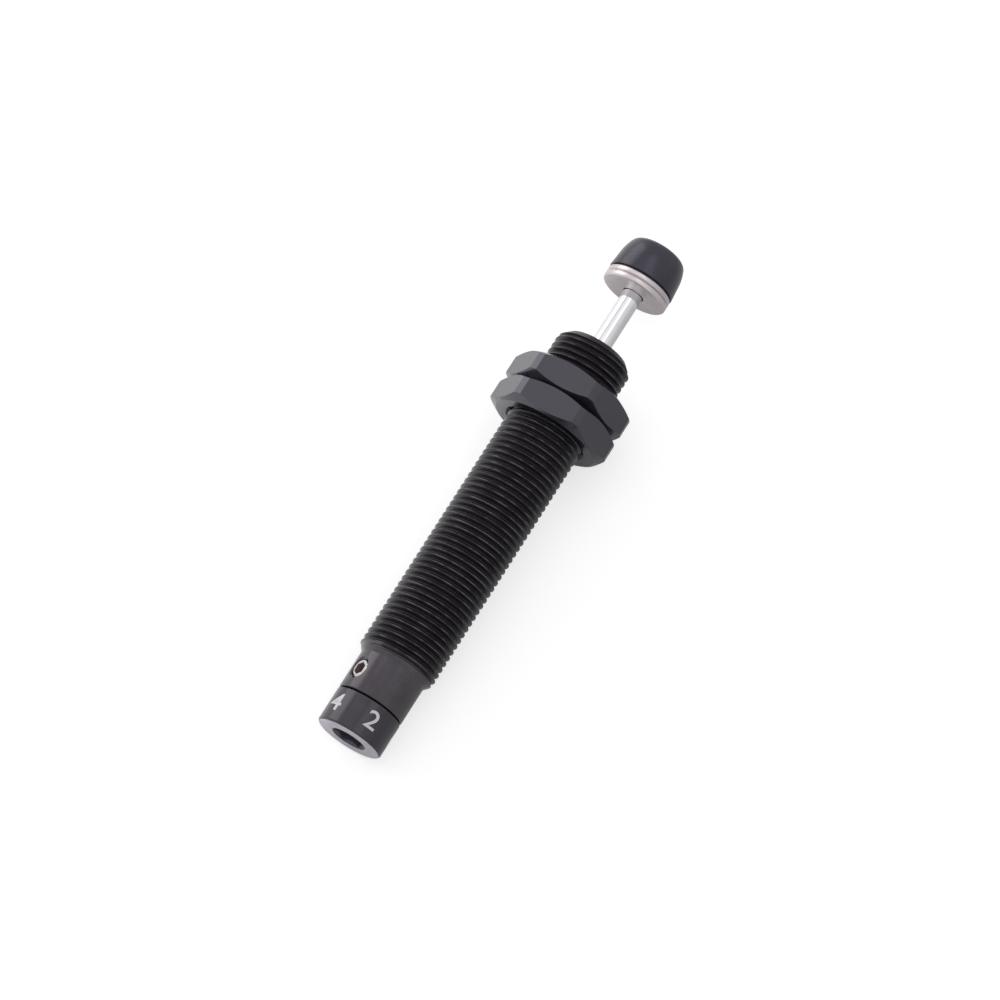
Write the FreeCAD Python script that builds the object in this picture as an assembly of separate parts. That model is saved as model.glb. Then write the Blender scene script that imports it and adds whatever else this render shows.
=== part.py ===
import FreeCAD, Part
import math
import os
from FreeCAD import Vector

# Industrial shock absorber with a threaded M12 x 1 body, a 10 mm stroke and an adjusting dial.
# All sizes are in millimetres. The X axis is the axis of the cylinder and points to the rod end,
# Z points up. The origin lies on the axis, in the front face of the front nut.

# Threaded body
thread_d = 12.0
nose_x = 6.2
thread_len = 55.0
nose_chamfer = 1.3
neck_d = 10.2
neck_shoulder_len = 1.1
neck_len = 6.15
oil_bore_d = 8.0
partition_len = 5.5
stem_bore_depth = 8.75
stem_bore_d = 6.9
spindle_bore_d = 3.9
mouth_bevel = 0.25

# Hex nuts. The circle that the corners are cut back to and the circle of the flat face both
# follow the width across the flats.
nut_af = 17.0
nut_corner_over = 2.0
nut_facet_under = 0.8
nut_corner_d = nut_af + nut_corner_over
nut_facet_d = nut_af - nut_facet_under
nut_h = 4.3
nut_bevel_deg = 30.0
nut_bore_bevel = 0.45

# Dial and its stem
dial_d = 10.2
dial_len = 5.35
dial_gap = 0.25
dial_bevel = 0.25
dial_socket_af = 4.5
dial_socket_depth = 3.2
dial_socket_bevel = 0.1
stem_front_gap = 0.3
stem_groove_w = 2.1
stem_groove_depth = 0.75

# Set screw that locks the dial
screw_d = 3.0
screw_inset = 0.3
screw_dog_d = 1.8
screw_socket_af = 1.5
screw_socket_depth = 0.8
screw_bevel = 0.2
screw_back_distance = 3.25
screw_angle_deg = 45.0
screw_hole_bevel = 0.35

# Piston rod, button plate and bumper cap
rod_d = 3.0
rod_out = 10.0
stroke = 10.0
rod_stud_d = 2.2
rod_stud_len = 1.4
rod_tail_d = 2.0
rod_tail_over = 0.3
plate_d = 10.2
plate_t = 1.8
plate_groove_back = 0.75
plate_groove_w = 0.35
plate_groove_depth = 0.3
plate_bevel = 0.2
plate_spigot_d = 4.2
plate_spigot_h = 1.9
plate_head_d = 5.6
plate_head_t = 0.8
cap_overhang = 0.1
cap_shoulder_d = 9.9
cap_taper_len = 2.8
cap_h = 5.8
cap_side_round = 7.2
cap_edge_round = 1.3

# Rod guide in the mouth of the body
guide_inset = 1.0
guide_len = 8.2
guide_boss_d = 5.8
guide_boss_len = 0.8
holder_t = 0.8
spigot_len = 1.0
snap_ring_t = 0.5
snap_ring_w = 1.3
snap_groove_depth = 0.4
snap_ring_gap_deg = 70.0
bush_d = 4.2
bush_len = 4.2
wiper_d = 4.8
wiper_t = 0.9
wiper_lip_t = 0.12
seal_d = 5.8
seal_len = 2.0
seal_lip_depth = 0.9
seal_lip_t = 0.3
guide_ring_d = 1.0
guide_ring_back = 2.6

# Pressure tube and what lies round it
tube_bore_d = 4.8
tube_wall = 0.8
tube_end_gap = 0.1
plug_t = 1.8
plug_pilot_h = 0.9
plug_tongue_h = 1.5
plug_tongue_w = 1.2
orifice_d = 0.6
orifice_count = 5
orifice_first = 2.4
orifice_spread = 0.62
return_hole_d = 0.9
return_hole_count = 2
return_hole_turn_deg = 90.0
sleeve_len = 19.0
sleeve_slot_first_w = 0.2
sleeve_slot_step_w = 0.15
sleeve_slot_count = 9
sleeve_end_band = 1.2
foam_end_gap = 0.4

# Piston with its check ring
piston_front_gap = 0.1
piston_land = 1.5
piston_nose_d = 4.0
piston_nose_len = 0.5
piston_hub_d = 3.3
piston_hub_len = 1.2
check_ring_t = 0.8
check_ring_bore_d = 3.8
piston_hole_d = 0.3
piston_hole_count = 4
retainer_d = 4.3
retainer_t = 1.0
retainer_flat_af = 3.6
retainer_pilot_d = 2.9
retainer_pilot_h = 1.4

# Return spring
spring_wire_d = 0.37
spring_d = 4.2
spring_turns = 7.5
spring_sides = 6
spring_seat_gap = 0.02

# Adjusting spindle in the partition
flange_d = 7.0
flange_t = 2.0
washer_t = 0.5
washer_d = 7.2
spindle_ring_d = 0.9
spindle_ring_back = 2.1
spindle_tongue_len = 1.9
spindle_tongue_w = 1.2
tongue_gap = 0.05
tongue_end_gap = 0.4

# Clearances
thread_fit = 0.05
screw_tip_gap = 0.05
press_gap = 0.02
run_gap = 0.03
rod_way_gap = 0.09
ring_squeeze = 0.02
o_ring_sides = 8
ring_room = 0.3
cut_over = 1.0

# Stations along the axis, from the mouth to the dial
body_back_x = nose_x - thread_len - neck_shoulder_len - neck_len
neck_x = nose_x - thread_len - neck_shoulder_len
dial_front_x = body_back_x - dial_gap
dial_back_x = dial_front_x - dial_len
partition_back_x = body_back_x + stem_bore_depth
floor_x = partition_back_x + partition_len
stem_front_x = partition_back_x - stem_front_gap
screw_x = body_back_x + screw_back_distance

guide_x = nose_x - guide_inset
guide_back_x = guide_x - guide_len
boss_x = guide_x + guide_boss_len
wiper_back_x = boss_x - wiper_t
bush_back_x = wiper_back_x - bush_len
seal_x = guide_back_x + seal_len
holder_x = guide_back_x - holder_t
spigot_back_x = holder_x - spigot_len
rod_tip_x = nose_x + rod_out
plate_x = rod_tip_x + plate_t
cap_top_x = plate_x + cap_h

washer_x = floor_x + washer_t
flange_x = washer_x + flange_t
plug_back_x = flange_x + tongue_end_gap
plug_x = plug_back_x + plug_t
tube_x = holder_x - tube_end_gap

piston_x = spigot_back_x - piston_front_gap
land_back_x = piston_x - piston_land
retainer_x = land_back_x - piston_hub_len
retainer_back_x = retainer_x - retainer_t
rod_tail_x = retainer_back_x - retainer_pilot_h - rod_tail_over

# Radii that follow from the sizes above
thread_r = thread_d / 2
neck_r = neck_d / 2
oil_bore_r = oil_bore_d / 2
rod_r = rod_d / 2
guide_r = oil_bore_r - press_gap
tube_ir = tube_bore_d / 2
tube_or = tube_ir + tube_wall
stem_r = stem_bore_d / 2 - run_gap
spindle_r = spindle_bore_d / 2 - run_gap
rod_way_r = rod_r + rod_way_gap
screw_r = screw_d / 2 - thread_fit


def turned(points):
    """A solid of revolution round the X axis, from (x, radius) corners."""
    wire = Part.makePolygon([Vector(x, 0, r) for x, r in points + points[:1]])
    return Part.Face(wire).revolve(Vector(0, 0, 0), Vector(1, 0, 0), 360.0)


def turned_wire(edges):
    """A solid of revolution round the X axis, from the edges of a closed outline."""
    return Part.Face(Part.Wire(edges)).revolve(Vector(0, 0, 0), Vector(1, 0, 0), 360.0)


def disc(x_low, x_high, radius):
    """A cylinder on the axis between two stations."""
    return Part.makeCylinder(radius, x_high - x_low, Vector(x_low, 0, 0), Vector(1, 0, 0))


def ring(x_low, x_high, inner, outer):
    """A plain ring between two stations."""
    return turned([(x_low, inner), (x_low, outer), (x_high, outer), (x_high, inner)])


def hex_prism(x_low, x_high, across_flats):
    """A hexagonal prism on the axis with two flats level."""
    corner = across_flats / math.sqrt(3)
    angles = [math.radians(60 * k) for k in range(7)]
    points = [Vector(x_low, corner * math.cos(a), corner * math.sin(a)) for a in angles]
    return Part.Face(Part.makePolygon(points)).extrude(Vector(x_high - x_low, 0, 0))


def blade(x_low, x_high, width, length):
    """A flat bar across the axis, such as a drive tongue or the slot for it."""
    corner = Vector(x_low, -width / 2, -length / 2)
    return Part.makeBox(x_high - x_low, width, length, corner)


def o_ring(x, ring_r, section_r):
    """An O-ring on the axis, its round section taken as a polygon."""
    corners = []
    for k in range(o_ring_sides):
        turn = 2 * math.pi * k / o_ring_sides
        corners.append((x + section_r * math.cos(turn), ring_r + section_r * math.sin(turn)))
    return turned(corners)


def about_axis(shape, degrees):
    """A copy of the shape turned round the X axis."""
    copy = shape.copy()
    copy.rotate(Vector(0, 0, 0), Vector(1, 0, 0), degrees)
    return copy


def body_tube():
    """The threaded cylinder with its turned neck, the oil bore and the stem bore."""
    groove_x = guide_x + snap_ring_t
    outer = turned([
        (body_back_x, 0),
        (body_back_x, neck_r - mouth_bevel),
        (body_back_x + mouth_bevel, neck_r),
        (neck_x, neck_r),
        (neck_x + neck_shoulder_len, thread_r),
        (nose_x - nose_chamfer, thread_r),
        (nose_x, thread_r - nose_chamfer),
        (nose_x, 0),
    ])
    bore = turned([
        (body_back_x, 0),
        (body_back_x, stem_bore_d / 2 + mouth_bevel),
        (body_back_x + mouth_bevel, stem_bore_d / 2),
        (partition_back_x, stem_bore_d / 2),
        (partition_back_x, spindle_bore_d / 2),
        (floor_x, spindle_bore_d / 2),
        (floor_x, oil_bore_r),
        (guide_x, oil_bore_r),
        (guide_x, oil_bore_r + snap_groove_depth),
        (groove_x, oil_bore_r + snap_groove_depth),
        (groove_x, oil_bore_r),
        (nose_x - mouth_bevel, oil_bore_r),
        (nose_x, oil_bore_r + mouth_bevel),
        (nose_x, 0),
    ])
    return outer.cut(bore).cut(screw_hole())


def screw_hole():
    """The radial hole in the neck with a small bevel at its mouth."""
    hole_r = screw_d / 2
    foot = neck_r - screw_hole_bevel
    reach = screw_hole_bevel + cut_over
    hole = Part.makeCylinder(hole_r, neck_r, Vector(screw_x, 0, 0), Vector(0, 0, 1))
    mouth = Part.makeCone(hole_r, hole_r + reach, reach, Vector(screw_x, 0, foot), Vector(0, 0, 1))
    return about_axis(hole.fuse(mouth), screw_angle_deg - 90)


def lock_screw():
    """The M3 set screw with a dog point and a hexagon socket."""
    top = neck_r - screw_inset
    foot = stem_bore_d / 2 + screw_tip_gap
    tip = stem_r - stem_groove_depth + screw_tip_gap
    shank = turned([
        (tip, 0),
        (tip, screw_dog_d / 2),
        (foot, screw_dog_d / 2),
        (foot, screw_r - screw_bevel),
        (foot + screw_bevel, screw_r),
        (top - screw_bevel, screw_r),
        (top, screw_r - screw_bevel),
        (top, 0),
    ])
    socket = hex_prism(top - screw_socket_depth, top + cut_over, screw_socket_af)
    screw = shank.cut(socket)
    screw.rotate(Vector(0, 0, 0), Vector(0, 1, 0), -90)
    screw.translate(Vector(screw_x, 0, 0))
    return about_axis(screw, screw_angle_deg - 90)


def hex_nut(front_x):
    """A thin hex nut: a hexagon whose corners are cut back and whose faces are bevelled."""
    back_x = front_x - nut_h
    corner_r = nut_corner_d / 2
    slope = math.tan(math.radians(nut_bevel_deg))
    drop = (corner_r - nut_facet_d / 2) * slope
    envelope = turned([
        (back_x, 0),
        (back_x, nut_facet_d / 2),
        (back_x + drop, corner_r),
        (front_x - drop, corner_r),
        (front_x, nut_facet_d / 2),
        (front_x, 0),
    ])
    bore_r = thread_r + thread_fit
    bore = turned([
        (back_x, 0),
        (back_x, bore_r + nut_bore_bevel),
        (back_x + nut_bore_bevel, bore_r),
        (front_x - nut_bore_bevel, bore_r),
        (front_x, bore_r + nut_bore_bevel),
        (front_x, 0),
    ])
    return envelope.common(hex_prism(back_x, front_x, nut_af)).cut(bore)


def adjusting_dial():
    """The dial with its hexagon socket, turned in one piece with the stem that the screw holds."""
    groove_r = stem_r - stem_groove_depth
    solid = turned([
        (dial_back_x, 0),
        (dial_back_x, dial_d / 2 - dial_bevel),
        (dial_back_x + dial_bevel, dial_d / 2),
        (dial_front_x, dial_d / 2),
        (dial_front_x, stem_r),
        (screw_x - stem_groove_w / 2, stem_r),
        (screw_x - stem_groove_w / 2, groove_r),
        (screw_x + stem_groove_w / 2, groove_r),
        (screw_x + stem_groove_w / 2, stem_r),
        (stem_front_x - mouth_bevel, stem_r),
        (stem_front_x, stem_r - mouth_bevel),
        (stem_front_x, 0),
    ])
    socket_r = dial_socket_af / 2
    socket = hex_prism(dial_back_x - cut_over, dial_back_x + dial_socket_depth, dial_socket_af)
    corner_r = dial_socket_af / math.sqrt(3)
    lead_in = turned([
        (dial_back_x, 0),
        (dial_back_x, corner_r + dial_socket_bevel),
        (dial_back_x + corner_r + dial_socket_bevel - socket_r, socket_r),
        (dial_back_x + corner_r + dial_socket_bevel - socket_r, 0),
    ])
    slot_foot_x = partition_back_x - spindle_tongue_len - tongue_end_gap
    slot = blade(slot_foot_x, stem_front_x + cut_over, spindle_tongue_w + 2 * tongue_gap, stem_bore_d)
    return solid.cut(socket).cut(lead_in).cut(slot)


def adjusting_spindle():
    """The sealed spindle with a slotted flange in the oil and a tongue in the dial's stem."""
    ring_x = partition_back_x + spindle_ring_back
    groove_w = spindle_ring_d + ring_room
    groove_r = spindle_bore_d / 2 - spindle_ring_d + ring_squeeze
    solid = turned([
        (partition_back_x, 0),
        (partition_back_x, spindle_r),
        (ring_x - groove_w / 2, spindle_r),
        (ring_x - groove_w / 2, groove_r),
        (ring_x + groove_w / 2, groove_r),
        (ring_x + groove_w / 2, spindle_r),
        (washer_x, spindle_r),
        (washer_x, flange_d / 2),
        (flange_x, flange_d / 2),
        (flange_x, 0),
    ])
    slot_w = plug_tongue_w + 2 * tongue_gap
    slot = blade(flange_x - plug_tongue_h, flange_x + cut_over, slot_w, flange_d + cut_over)
    tip_x = partition_back_x - spindle_tongue_len
    tongue = blade(tip_x, partition_back_x, spindle_tongue_w, spindle_r * 2)
    round_tip = disc(tip_x, partition_back_x, spindle_r)
    return solid.cut(slot).fuse(tongue.common(round_tip)).removeSplitter()


def spindle_ring():
    """The O-ring in the spindle's groove."""
    section_r = spindle_ring_d / 2 - ring_squeeze
    return o_ring(partition_back_x + spindle_ring_back, spindle_bore_d / 2 - spindle_ring_d / 2, section_r)


def thrust_washer():
    """The flat washer that the spindle's flange turns against."""
    return ring(floor_x, washer_x, spindle_r + run_gap, washer_d / 2)


def tube_plug():
    """The plug that closes the pressure tube and drives it by its tongue."""
    plug_r = tube_ir - press_gap
    foot_x = plug_back_x - plug_tongue_h
    body = disc(plug_back_x, plug_x, plug_r)
    tongue = blade(foot_x, plug_back_x, plug_tongue_w, tube_bore_d).common(disc(foot_x, plug_back_x, plug_r))
    pilot = disc(plug_x, plug_x + plug_pilot_h, spring_d / 2 - spring_wire_d - run_gap)
    return body.fuse(tongue).fuse(pilot).removeSplitter()


def orifice_stations():
    """The row of metering holes: the spaces between them shrink towards the end of the stroke."""
    run = stroke - orifice_first - orifice_d
    stations = []
    for k in range(orifice_count):
        share = k / (orifice_count - 1)
        stations.append(land_back_x - orifice_first - run * share ** orifice_spread)
    return stations


def pressure_tube():
    """The inner cylinder with its row of metering holes and the return holes behind the guide."""
    tube = ring(plug_back_x, tube_x, tube_ir, tube_or)
    reach = tube_or + cut_over
    for x in orifice_stations():
        hole = Part.makeCylinder(orifice_d / 2, reach, Vector(x, 0, 0), Vector(0, 0, 1))
        tube = tube.cut(hole)
    back_x = spigot_back_x - return_hole_d / 2
    for k in range(return_hole_count):
        turn = return_hole_turn_deg + 360 * k / return_hole_count
        hole = Part.makeCylinder(return_hole_d / 2, reach, Vector(back_x, 0, 0), Vector(0, 0, 1))
        tube = tube.cut(about_axis(hole, turn))
    return tube


def metering_sleeve():
    """The fixed sleeve whose nine slots, each wider than the last, pass the oil of one dial number."""
    front_x = tube_x
    back_x = front_x - sleeve_len
    sleeve = ring(back_x, front_x, tube_or + run_gap, oil_bore_r - press_gap)
    pitch = 360 / (sleeve_slot_count + 1)
    for k in range(sleeve_slot_count):
        width = sleeve_slot_first_w + k * sleeve_slot_step_w
        length = sleeve_len - 2 * sleeve_end_band
        slot = Part.makeBox(length, width, oil_bore_r, Vector(back_x + sleeve_end_band, -width / 2, 0))
        sleeve = sleeve.cut(about_axis(slot, pitch * (k - (sleeve_slot_count - 1) / 2)))
    return sleeve


def foam_sleeve():
    """The closed-cell foam round the tube that makes room for the rod's oil."""
    front_x = tube_x - sleeve_len - tube_end_gap
    return ring(plug_back_x + foam_end_gap, front_x, tube_or + run_gap, oil_bore_r - press_gap)


def rod_guide():
    """The guide that closes the mouth, with the seats of the wiper, the bush and the rod seal."""
    ring_x = guide_back_x + guide_ring_back
    groove_w = guide_ring_d + ring_room
    groove_r = oil_bore_r - guide_ring_d + ring_squeeze
    return turned([
        (guide_back_x, seal_d / 2),
        (guide_back_x, guide_r),
        (ring_x - groove_w / 2, guide_r),
        (ring_x - groove_w / 2, groove_r),
        (ring_x + groove_w / 2, groove_r),
        (ring_x + groove_w / 2, guide_r),
        (guide_x, guide_r),
        (guide_x, guide_boss_d / 2),
        (boss_x, guide_boss_d / 2),
        (boss_x, wiper_d / 2),
        (wiper_back_x, wiper_d / 2),
        (wiper_back_x, bush_d / 2),
        (bush_back_x, bush_d / 2),
        (bush_back_x, rod_way_r),
        (seal_x, rod_way_r),
        (seal_x, seal_d / 2),
    ])


def rod_bush():
    """The bronze bush that the rod slides in."""
    return ring(bush_back_x, wiper_back_x, rod_r + run_gap, bush_d / 2 - press_gap)


def rod_wiper():
    """The wiper ring, whose thin lip keeps dirt off the rod."""
    inner = rod_r + run_gap
    outer = wiper_d / 2 - press_gap
    return turned([
        (wiper_back_x, inner + wiper_lip_t),
        (wiper_back_x, outer),
        (boss_x, outer),
        (boss_x, inner + 2 * wiper_lip_t),
        (boss_x - wiper_lip_t, inner + wiper_lip_t),
        (boss_x + wiper_lip_t, inner),
        (boss_x - 2 * wiper_lip_t, inner),
    ])


def rod_seal():
    """The rod seal, a ring with a groove between its two lips on the oil side."""
    inner = rod_r + run_gap
    outer = seal_d / 2 - press_gap
    middle = (inner + outer) / 2
    back_x = guide_back_x + press_gap
    return turned([
        (back_x, inner),
        (back_x, inner + seal_lip_t),
        (back_x + seal_lip_depth, middle),
        (back_x, outer - seal_lip_t),
        (back_x, outer),
        (seal_x - press_gap, outer),
        (seal_x - press_gap, inner),
    ])


def guide_ring():
    """The O-ring between the guide and the body."""
    section_r = guide_ring_d / 2 - ring_squeeze
    return o_ring(guide_back_x + guide_ring_back, oil_bore_r - guide_ring_d / 2, section_r)


def seal_holder():
    """The flanged ring that keeps the rod seal in and centres the pressure tube on its spigot."""
    return turned([
        (spigot_back_x, rod_way_r),
        (spigot_back_x, tube_ir - run_gap),
        (holder_x, tube_ir - run_gap),
        (holder_x, guide_r),
        (guide_back_x, guide_r),
        (guide_back_x, rod_way_r),
    ])


def snap_ring():
    """The open retaining ring in the groove of the mouth."""
    outer = oil_bore_r + snap_groove_depth - press_gap
    solid = ring(guide_x, guide_x + snap_ring_t, outer - snap_ring_w, outer)
    half = math.radians(snap_ring_gap_deg / 2)
    reach = 2 * thread_r
    wedge = Part.Face(Part.makePolygon([
        Vector(guide_x, 0, 0),
        Vector(guide_x, reach * math.sin(half), -reach * math.cos(half)),
        Vector(guide_x, -reach * math.sin(half), -reach * math.cos(half)),
        Vector(guide_x, 0, 0),
    ])).extrude(Vector(snap_ring_t, 0, 0))
    return solid.cut(wedge)


def piston_rod():
    """The hardened rod with a stud for the button plate and a thinner tail for the piston."""
    return turned([
        (rod_tail_x, 0),
        (rod_tail_x, rod_tail_d / 2),
        (piston_x, rod_tail_d / 2),
        (piston_x, rod_r),
        (rod_tip_x, rod_r),
        (rod_tip_x, rod_stud_d / 2),
        (rod_tip_x + rod_stud_len, rod_stud_d / 2),
        (rod_tip_x + rod_stud_len, 0),
    ])


def piston():
    """The piston: a land with oil holes, and a hub that carries the check ring."""
    nose_back_x = piston_x - piston_nose_len
    solid = turned([
        (retainer_x, rod_tail_d / 2 + press_gap),
        (retainer_x, piston_hub_d / 2),
        (land_back_x, piston_hub_d / 2),
        (land_back_x, tube_ir - run_gap),
        (nose_back_x, tube_ir - run_gap),
        (nose_back_x, piston_nose_d / 2),
        (piston_x, piston_nose_d / 2),
        (piston_x, rod_tail_d / 2 + press_gap),
    ])
    centre_r = (check_ring_bore_d / 2 + tube_ir - run_gap) / 2
    hole = Part.makeCylinder(
        piston_hole_d / 2,
        piston_land + 2 * cut_over,
        Vector(land_back_x - cut_over, 0, centre_r),
        Vector(1, 0, 0),
    )
    for k in range(piston_hole_count):
        solid = solid.cut(about_axis(hole, 360 * k / piston_hole_count))
    return solid


def check_ring():
    """The loose ring on the hub that shuts the oil holes while the rod is pushed in."""
    return ring(land_back_x - check_ring_t, land_back_x, check_ring_bore_d / 2, tube_ir - run_gap)


def piston_retainer():
    """The collar on the rod's tail with three flats for the oil and a pilot for the spring."""
    bore_r = rod_tail_d / 2 + press_gap
    solid = turned([
        (retainer_back_x - retainer_pilot_h, bore_r),
        (retainer_back_x - retainer_pilot_h, retainer_pilot_d / 2),
        (retainer_back_x, retainer_pilot_d / 2),
        (retainer_back_x, retainer_d / 2),
        (retainer_x, retainer_d / 2),
        (retainer_x, bore_r),
    ])
    flat = Part.makeBox(
        retainer_t,
        retainer_d,
        retainer_d,
        Vector(retainer_back_x, -retainer_d / 2, retainer_flat_af / 2),
    )
    for k in range(3):
        solid = solid.cut(about_axis(flat, 120 * k))
    return solid


def return_spring():
    """The coil spring between the retainer and the plug, ground flat at both ends.

    The wire's round section is taken as a hexagon, which keeps so small a coil light.
    """
    wire_r = spring_wire_d / 2
    mean_r = spring_d / 2 - wire_r
    space = retainer_back_x - plug_x
    over = spring_wire_d
    helix = Part.makeHelix(space / spring_turns, space + 2 * over, mean_r)
    corners = []
    for k in range(spring_sides + 1):
        turn = 2 * math.pi * (k % spring_sides) / spring_sides
        corners.append(Vector(mean_r + wire_r * math.cos(turn), 0, wire_r * math.sin(turn)))
    coil = Part.Wire(helix).makePipeShell([Part.makePolygon(corners)], True, True)
    coil.rotate(Vector(0, 0, 0), Vector(0, 1, 0), 90)
    coil.translate(Vector(plug_x - over, 0, 0))
    room = disc(plug_x + spring_seat_gap, retainer_back_x - spring_seat_gap, spring_d)
    return coil.common(room)


def button_plate():
    """The round plate on the rod's tip, with a grooved rim and a headed spigot for the cap."""
    plate_r = plate_d / 2
    groove_x = rod_tip_x + plate_groove_back
    head_x = plate_x + plate_spigot_h
    return turned([
        (rod_tip_x, rod_stud_d / 2 + press_gap),
        (rod_tip_x, plate_r - plate_bevel),
        (rod_tip_x + plate_bevel, plate_r),
        (groove_x, plate_r),
        (groove_x + plate_groove_w / 2, plate_r - plate_groove_depth),
        (groove_x + plate_groove_w, plate_r),
        (plate_x, plate_r),
        (plate_x, plate_spigot_d / 2),
        (head_x - plate_head_t, plate_spigot_d / 2),
        (head_x - plate_head_t, plate_head_d / 2),
        (head_x, plate_head_d / 2),
        (head_x, 0),
        (rod_tip_x + rod_stud_len + press_gap, 0),
        (rod_tip_x + rod_stud_len + press_gap, rod_stud_d / 2 + press_gap),
    ])


def arc_about(centre, start, end):
    """The short arc between two points of a circle."""
    radius = (start - centre).Length
    middle = (start - centre) + (end - centre)
    middle.normalize()
    return Part.Arc(start, centre + middle * radius, end).toShape()


def bumper_cap():
    """The polyurethane cap: a slightly tapered wall, a soft shoulder in two arcs and a flat top."""
    shoulder = Vector(plate_x + cap_taper_len, 0, cap_shoulder_d / 2)
    base = Vector(plate_x, 0, plate_d / 2 + cap_overhang)
    inward = Vector((base.z - shoulder.z), 0, cap_taper_len)
    inward.normalize()
    side_centre = shoulder - inward * cap_side_round
    edge_x = cap_top_x - cap_edge_round
    between = cap_side_round - cap_edge_round
    rise = math.sqrt(between ** 2 - (edge_x - side_centre.x) ** 2)
    edge_centre = Vector(edge_x, 0, side_centre.z + rise)
    meeting = side_centre + (edge_centre - side_centre) * (cap_side_round / between)
    top = Vector(cap_top_x, 0, edge_centre.z)
    head_x = plate_x + plate_spigot_h
    neck_top_x = head_x - plate_head_t - press_gap
    corners = [
        top,
        Vector(cap_top_x, 0, 0),
        Vector(head_x + press_gap, 0, 0),
        Vector(head_x + press_gap, 0, plate_head_d / 2 + press_gap),
        Vector(neck_top_x, 0, plate_head_d / 2 + press_gap),
        Vector(neck_top_x, 0, plate_spigot_d / 2 + press_gap),
        Vector(plate_x, 0, plate_spigot_d / 2 + press_gap),
        base,
        shoulder,
    ]
    edges = [Part.makeLine(a, b) for a, b in zip(corners, corners[1:])]
    edges.append(arc_about(side_centre, shoulder, meeting))
    edges.append(arc_about(edge_centre, meeting, top))
    return turned_wire(edges)


parts = {
    "body_tube": body_tube(),
    "front_nut": hex_nut(0.0),
    "rear_nut": hex_nut(-nut_h),
    "adjusting_dial": adjusting_dial(),
    "lock_screw": lock_screw(),
    "adjusting_spindle": adjusting_spindle(),
    "spindle_ring": spindle_ring(),
    "thrust_washer": thrust_washer(),
    "tube_plug": tube_plug(),
    "pressure_tube": pressure_tube(),
    "metering_sleeve": metering_sleeve(),
    "foam_sleeve": foam_sleeve(),
    "rod_guide": rod_guide(),
    "guide_ring": guide_ring(),
    "rod_bush": rod_bush(),
    "rod_wiper": rod_wiper(),
    "rod_seal": rod_seal(),
    "seal_holder": seal_holder(),
    "snap_ring": snap_ring(),
    "piston_rod": piston_rod(),
    "piston": piston(),
    "check_ring": check_ring(),
    "piston_retainer": piston_retainer(),
    "return_spring": return_spring(),
    "button_plate": button_plate(),
    "bumper_cap": bumper_cap(),
}

os.makedirs("parts", exist_ok=True)
for name, shape in parts.items():
    print(name, len(shape.Solids), shape.isValid(), round(shape.Volume, 2))
    shape.exportStep("parts/" + name + ".step")
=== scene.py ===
# %% [markdown]
# # Dressing an industrial shock absorber
# The frame holds the exact solids of the part, each in its place. This lesson gives them the
# looks of the real thing: a cut thread, worn black steel, plated metal and moulded plastic.
# Nothing is moved. Each new piece is made where its solid lies and rides on the same body.

# %% Load the frame
import math
from itertools import pairwise

import bpy
from mathutils import Matrix, Vector


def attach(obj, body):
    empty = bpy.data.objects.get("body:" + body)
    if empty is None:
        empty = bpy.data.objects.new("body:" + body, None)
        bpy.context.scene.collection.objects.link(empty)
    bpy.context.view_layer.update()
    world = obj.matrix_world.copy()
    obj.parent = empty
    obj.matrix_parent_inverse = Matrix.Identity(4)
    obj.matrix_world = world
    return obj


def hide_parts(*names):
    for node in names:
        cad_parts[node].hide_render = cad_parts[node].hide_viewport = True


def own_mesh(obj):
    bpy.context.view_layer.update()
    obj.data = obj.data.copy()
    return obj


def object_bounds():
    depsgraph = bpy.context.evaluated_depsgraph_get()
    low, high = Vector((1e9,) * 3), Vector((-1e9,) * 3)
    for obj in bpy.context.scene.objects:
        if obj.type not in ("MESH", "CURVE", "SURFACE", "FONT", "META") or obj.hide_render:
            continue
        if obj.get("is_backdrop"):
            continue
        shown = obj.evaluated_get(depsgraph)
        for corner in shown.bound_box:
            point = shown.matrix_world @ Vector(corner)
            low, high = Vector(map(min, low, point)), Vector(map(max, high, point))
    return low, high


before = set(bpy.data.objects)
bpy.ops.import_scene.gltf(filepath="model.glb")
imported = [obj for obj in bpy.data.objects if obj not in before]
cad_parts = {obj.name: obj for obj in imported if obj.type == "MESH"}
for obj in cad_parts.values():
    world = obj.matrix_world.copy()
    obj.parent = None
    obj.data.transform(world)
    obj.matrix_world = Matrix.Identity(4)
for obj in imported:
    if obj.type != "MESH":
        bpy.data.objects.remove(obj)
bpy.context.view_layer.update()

MM = 0.001

# %% [markdown]
# ## The camera
# The picture looks down on the part from about seventy degrees. The dial end is the nearer one:
# the axis leans sixteen degrees out of the picture, and it runs up and to the right. Three angles
# say all of that, so the camera is worked out from them and not set by trial. The lens is long,
# as it is for small goods, because a near camera would make the dial look too big.

# %% Camera
tilt = math.radians(16.0)
facing = math.radians(102.3)
lean = math.radians(32.66)
distance = 738.6 * MM
pixels_per_mm = 7.04
middle_of_part = Vector((-21.5, 0, 0)) * MM
offset_in_pixels = (2.6, 6.6)
lens_mm = 187.2
sensor_mm = 36.0

to_camera = Vector((
    -math.sin(tilt),
    math.cos(tilt) * math.cos(facing),
    math.cos(tilt) * math.sin(facing),
))
axis = Vector((1, 0, 0))
along = (axis - to_camera * axis.dot(to_camera)).normalized()
across = (-to_camera).cross(along)
right = along * math.sin(lean) + across * math.cos(lean)
up = along * math.cos(lean) - across * math.sin(lean)
aim = middle_of_part + (right * offset_in_pixels[0] + up * offset_in_pixels[1]) * MM / pixels_per_mm

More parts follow.
